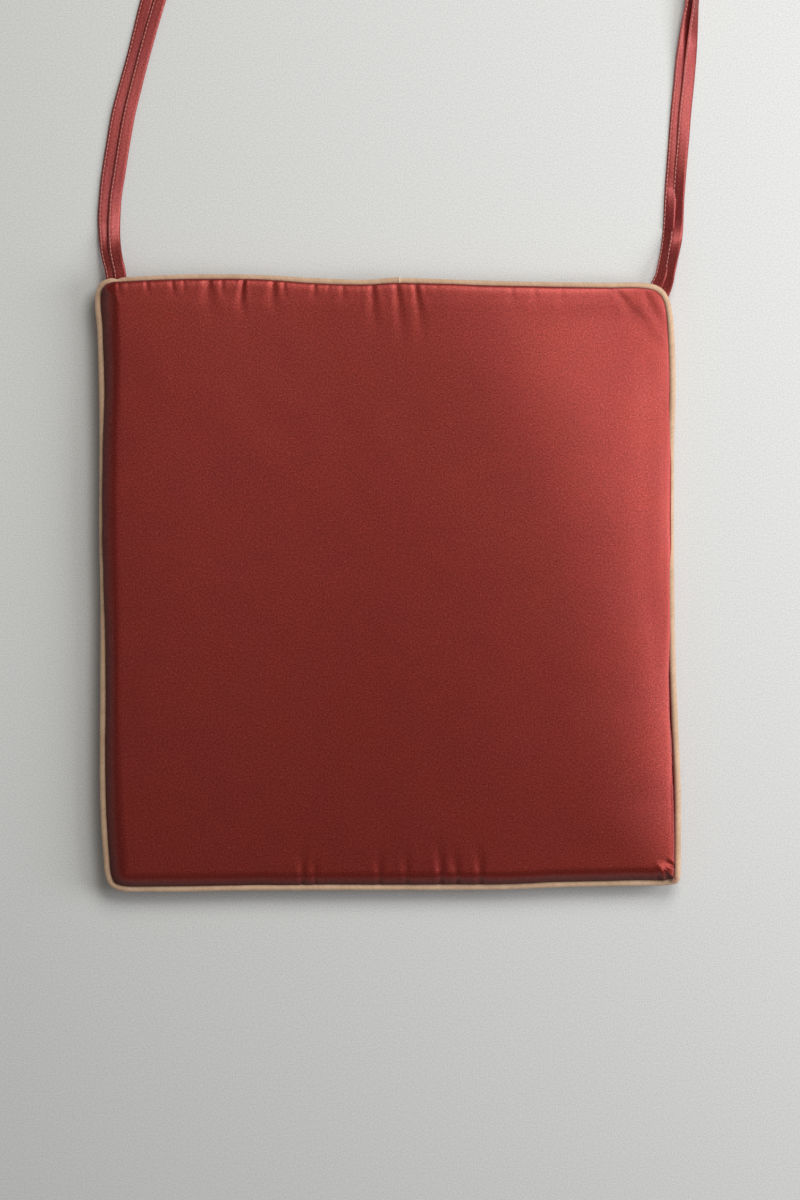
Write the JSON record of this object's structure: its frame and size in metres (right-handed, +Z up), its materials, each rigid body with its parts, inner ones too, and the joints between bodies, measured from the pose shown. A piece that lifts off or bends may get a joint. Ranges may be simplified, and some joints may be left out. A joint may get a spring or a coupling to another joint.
{
  "type": "chair seat pad",
  "caption": "Square foam seat pad in a piped two-panel cotton cover, with narrow tie straps at the rear corners and a zip under the rear piping.",
  "frame": {"origin": "centre of the underside, under the middle of the pad", "axes": "+X to the right, +Y to the rear edge that carries the ties, +Z up through the pad's thickness"},
  "size_m": [0.3949, 0.6926, 0.028],
  "materials": {
    "cover_cotton": "smooth rust-red cotton with a soft sheen",
    "tie_cotton": "the cover's cotton, folded and edge stitched",
    "piping_cotton": "matt beige cotton cut on the bias",
    "filler_cord": "soft undyed cotton cord",
    "foam": "open-cell upholstery foam",
    "zip_tape": "ribbed woven tape",
    "zip_teeth": "moulded nylon",
    "zip_metal": "plated die-cast metal"
  },
  "bodies": {
    "pad": {"foam_core": "foam", "cover_top_panel": "cover_cotton", "cover_bottom_panel": "cover_cotton", "piping_sleeve": "piping_cotton", "piping_cord": "filler_cord", "left_tie_root": "tie_cotton", "right_tie_root": "tie_cotton", "zip_tape_upper": "zip_tape", "zip_tape_lower": "zip_tape", "zip_teeth_upper": "zip_teeth", "zip_teeth_lower": "zip_teeth", "zip_stop_left": "zip_metal", "zip_stop_right": "zip_metal"},
    "left_ties": {"left_tie_upper": "tie_cotton", "left_tie_lower": "tie_cotton"},
    "right_ties": {"right_tie_upper": "tie_cotton", "right_tie_lower": "tie_cotton"},
    "zip_slider": {"zip_slider": "zip_metal"},
    "zip_pull": {"zip_pull": "zip_metal"}
  },
  "joints": [
    {"name": "left_ties_swing", "type": "hinge", "parent": "pad", "child": "left_ties", "pos_m": [-0.177, 0.2034, 0.011], "axis": [1, 0, 0], "range_deg": [0, 100]},
    {"name": "right_ties_swing", "type": "hinge", "parent": "pad", "child": "right_ties", "pos_m": [0.179, 0.1994, 0.011], "axis": [1, 0, 0], "range_deg": [0, 100]},
    {"name": "zip_slide", "type": "slide", "parent": "pad", "child": "zip_slider", "axis": [0.9999, -0.0144, 0], "range_m": [0, 0.266]},
    {"name": "zip_pull_swing", "type": "hinge", "parent": "zip_slider", "child": "zip_pull", "pos_m": [-0.14243, 0.19466, 0.008], "axis": [0, 0, 1], "range_deg": [0, 170]}
  ]
}
